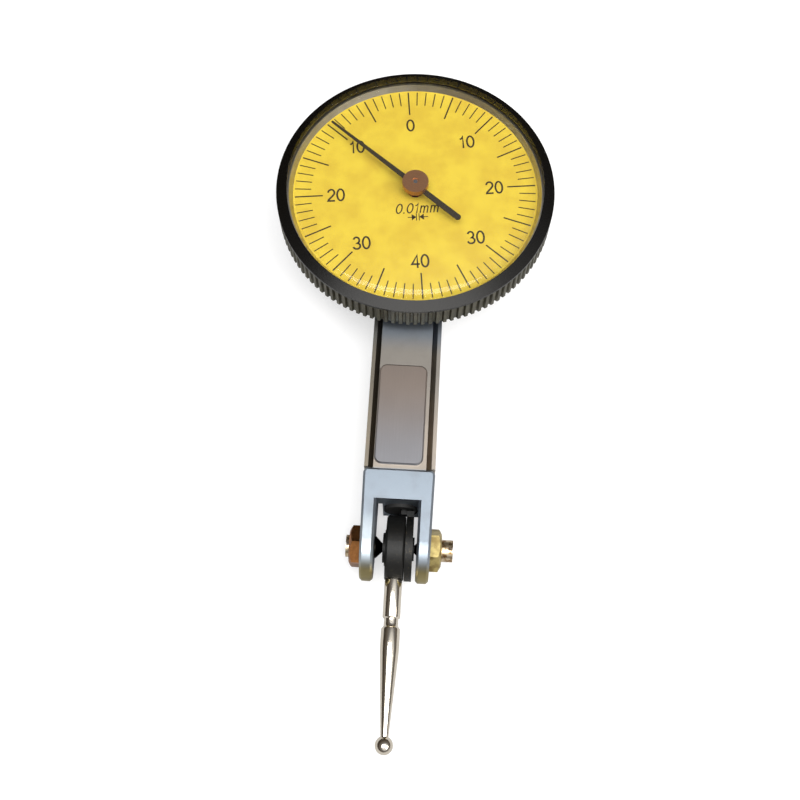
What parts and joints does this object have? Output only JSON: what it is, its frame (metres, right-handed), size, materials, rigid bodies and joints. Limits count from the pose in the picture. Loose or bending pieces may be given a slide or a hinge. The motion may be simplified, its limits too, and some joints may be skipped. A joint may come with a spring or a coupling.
{
  "type": "dial test indicator",
  "caption": "Lever-type dial test indicator: round yellow dial in a knurled bezel, dovetail body bar, forked pivot and a ball-ended swivelling stylus.",
  "frame": {"origin": "where the dial's axis meets the flat back face of the body bar", "axes": "+Z the way the dial faces, +Y from the stylus towards the dial, X across the bar; the instrument lies on its back"},
  "size_m": [0.038, 0.092, 0.0162],
  "materials": {
    "satin_chrome": "satin chrome plate",
    "case_grey": "satin dark grey",
    "black_anodised": "satin black",
    "bright_aluminium": "satin bright",
    "dial_yellow": "matt yellow print",
    "clear_acrylic": "clear",
    "nut_brass": "worn brass",
    "screw_plated": "plated",
    "black_oxide": "black oxide",
    "black_seal": "matt",
    "polished_steel": "polished",
    "movement_brass": "satin",
    "movement_steel": "satin",
    "spring_bronze": "satin",
    "ruby": "polished",
    "pointer_black": "satin black",
    "hub_satin": "satin"
  },
  "bodies": {
    "frame": {"body_frame": "satin_chrome", "arm_cover": "satin_chrome", "dial_case": "case_grey", "case_screws": "movement_steel", "bezel_snap_ring": "movement_steel", "pivot_screw_left": "screw_plated", "pivot_screw_right": "screw_plated", "lock_nut_left": "nut_brass", "lock_nut_right": "nut_brass", "lever_seal": "black_seal", "sector_pivot_pin": "movement_steel", "crown_jewels": "ruby", "centre_cock": "movement_brass", "cock_screw": "movement_steel", "cock_jewel": "ruby", "bridge_pillars": "movement_brass", "movement_bridge": "movement_brass", "bridge_jewel": "ruby", "bridge_screws": "movement_steel", "hairspring": "spring_bronze", "hairspring_stud": "movement_brass"},
    "bezel": {"bezel_ring": "black_anodised", "crystal": "clear_acrylic", "dial_ring": "bright_aluminium", "dial_face": "dial_yellow"},
    "lever": {"measuring_lever": "black_oxide", "lever_axle": "black_oxide", "friction_washer": "black_oxide", "contact_pin": "movement_steel"},
    "stylus": {"stylus_hub": "black_oxide", "stylus": "polished_steel", "contact_ball": "polished_steel"},
    "sector": {"sector_lever": "movement_brass"},
    "crown": {"crown_wheel": "movement_brass", "crown_arbor": "movement_steel"},
    "pointer": {"centre_arbor": "movement_steel", "hairspring_collet": "movement_brass", "pointer_hand": "pointer_black", "pointer_hub": "hub_satin"}
  },
  "joints": [
    {"name": "bezel_turn", "type": "hinge", "parent": "frame", "child": "bezel", "pos_m": [0, 0, 0.0126], "axis": [0, 0, 1], "continuous": true},
    {"name": "pointer_turn", "type": "hinge", "parent": "frame", "child": "pointer", "pos_m": [0, 0, 0.0141], "axis": [0, 0, 1], "range_deg": [-450, 450], "stiffness_Nm_per_rad": 0.000005},
    {"name": "lever_swing", "type": "hinge", "parent": "frame", "child": "lever", "pos_m": [0, -0.048, 0.0043], "axis": [1, 0, 0], "range_deg": [-2.5, 2.5]},
    {"name": "sector_swing", "type": "hinge", "parent": "frame", "child": "sector", "pos_m": [0, -0.018, 0.0043], "axis": [1, 0, 0], "range_deg": [-3.75, 3.75]},
    {"name": "crown_turn", "type": "hinge", "parent": "frame", "child": "crown", "pos_m": [0, 0, 0.0043], "axis": [1, 0, 0], "range_deg": [-90, 90]},
    {"name": "stylus_swivel", "type": "hinge", "parent": "lever", "child": "stylus", "pos_m": [0, -0.048, 0.0043], "axis": [1, 0, 0], "range_deg": [-120, 120]}
  ],
  "couplings": [
    {"joint": "lever_swing", "follows": "pointer_turn", "ratio": 0.0053333},
    {"joint": "sector_swing", "follows": "pointer_turn", "ratio": -0.0083333},
    {"joint": "crown_turn", "follows": "pointer_turn", "ratio": 0.2}
  ]
}
